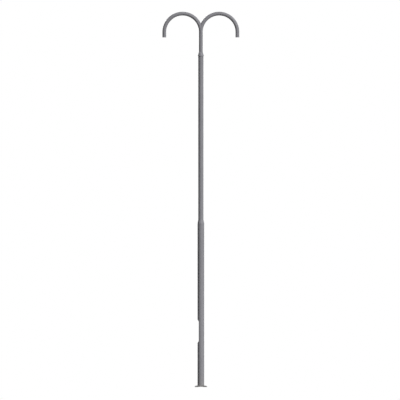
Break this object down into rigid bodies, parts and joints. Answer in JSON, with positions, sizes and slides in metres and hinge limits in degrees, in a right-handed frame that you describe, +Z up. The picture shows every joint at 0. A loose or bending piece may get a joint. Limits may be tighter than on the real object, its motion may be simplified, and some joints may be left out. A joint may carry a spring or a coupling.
{
  "type": "twin hook street light pole",
  "caption": "Tall stepped tubular steel light pole with a twin hooked bracket, a collar, an open hand hole near the foot and a square base plate.",
  "frame": {"origin": "centre of the base plate's underside, on the ground", "axes": "+Z up the pole, hooks along +X and -X, hand hole facing -X, +Y across the hooks"},
  "size_m": [1.842, 0.3, 8.998],
  "materials": {
    "pole_paint": "satin mid grey paint",
    "painted_weld": "weld bead under the same grey paint",
    "zinc_steel": "dull hot dip galvanised steel",
    "stainless": "plain stainless fasteners",
    "earth_brass": "dull brass earth terminal"
  },
  "bodies": {
    "root": {"base_plate": "pole_paint", "base_weld": "painted_weld", "foot_weld": "painted_weld", "lower_shaft": "pole_paint", "hatch_frame": "pole_paint", "upper_door_strap": "zinc_steel", "lower_door_strap": "zinc_steel", "equipment_rail": "zinc_steel", "upper_rail_bracket": "zinc_steel", "lower_rail_bracket": "zinc_steel", "upper_rail_bolt": "stainless", "lower_rail_bolt": "stainless", "upper_rail_nut": "stainless", "lower_rail_nut": "stainless", "earth_stud": "earth_brass", "earth_washer": "earth_brass", "earth_nut": "earth_brass", "lower_seam_weld": "painted_weld", "reducer": "pole_paint", "upper_seam_weld": "painted_weld", "middle_shaft": "pole_paint", "lower_spigot_ring": "zinc_steel", "upper_spigot_ring": "zinc_steel", "bracket_stem": "pole_paint", "collar": "pole_paint", "collar_weld": "painted_weld", "bracket_screw_1": "stainless", "bracket_screw_2": "stainless", "bracket_screw_3": "stainless", "stem_seam_weld": "painted_weld", "left_hook": "pole_paint", "right_hook": "pole_paint", "crotch_weld": "painted_weld"}
  },
  "joints": []
}
